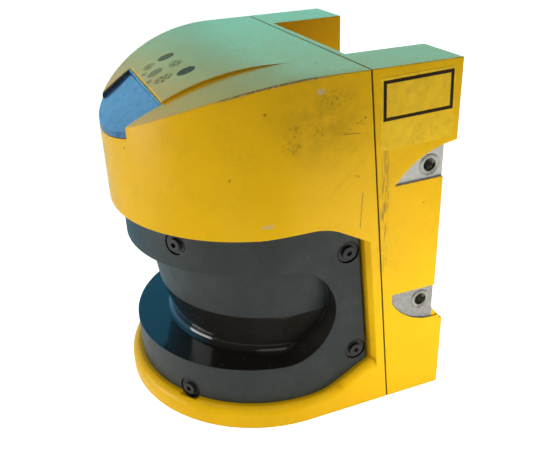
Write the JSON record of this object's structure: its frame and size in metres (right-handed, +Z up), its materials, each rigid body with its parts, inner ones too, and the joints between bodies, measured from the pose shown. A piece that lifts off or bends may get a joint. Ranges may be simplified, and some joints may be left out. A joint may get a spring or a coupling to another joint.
{
  "type": "safety laser scanner",
  "caption": "Boxy cast safety laser scanner with a round nose, black grooved scanning screen, tinted light window on a sloped hood, open rear plug bay and threaded side mounts",
  "frame": {"origin": "middle of the base, where the overall box's bottom face has its centre", "axes": "+Z up, -Y out of the round nose, +X out of one threaded cheek"},
  "size_m": [0.155, 0.156, 0.185],
  "materials": {
    "yellow_paint": "semi-gloss signal-yellow paint on cast aluminium",
    "gasket_rubber": "matt black sealing cord",
    "screen_plastic": "satin dark grey outside, glossy in the groove",
    "dark_steel": "blackened steel",
    "window_plastic": "glossy tinted light window",
    "circuit_board": "green circuit board",
    "lamp_plastic": "clear coloured lamp bodies",
    "steel": "turned steel",
    "plated_shell": "tin plating",
    "lens_glass": "clear coated lens",
    "bare_aluminium": "milled aluminium",
    "black_metal": "black anodised aluminium",
    "laser_brass": "turned brass",
    "mirror_coating": "front-coated mirror",
    "magnet_iron": "sintered iron",
    "sensor_plastic": "black moulded sensor body"
  },
  "bodies": {
    "housing": {"front_housing": "yellow_paint", "rear_housing": "yellow_paint", "housing_gasket": "gasket_rubber", "front_screen": "screen_plastic", "screen_gasket": "gasket_rubber", "screen_screws": "dark_steel", "screen_washers": "dark_steel", "indicator_window": "window_plastic", "indicator_board": "circuit_board", "status_lamps": "lamp_plastic", "thread_inserts": "steel", "housing_screws": "steel", "power_socket": "plated_shell", "data_socket": "plated_shell", "jack_posts": "plated_shell", "main_board": "circuit_board", "board_pillars": "plated_shell", "power_board": "circuit_board", "receiver_board": "circuit_board", "receiver_lens": "lens_glass", "optics_plate": "bare_aluminium", "lens_holder": "black_metal", "lens_barrel": "black_metal", "laser_tube": "laser_brass", "motor_bearings": "steel", "motor_housing": "bare_aluminium", "stator": "magnet_iron", "motor_bracket": "bare_aluminium", "encoder_sensor": "sensor_plastic", "sensor_boards": "circuit_board"},
    "rotor": {"scan_mirror": "mirror_coating", "mirror_holder": "black_metal", "motor_shaft": "steel", "motor_magnet": "magnet_iron", "encoder_disc": "steel"}
  },
  "joints": [
    {"name": "mirror_spin", "type": "hinge", "parent": "housing", "child": "rotor", "pos_m": [0, -0.0005, 0.07], "axis": [0, 0, 1], "continuous": true}
  ]
}
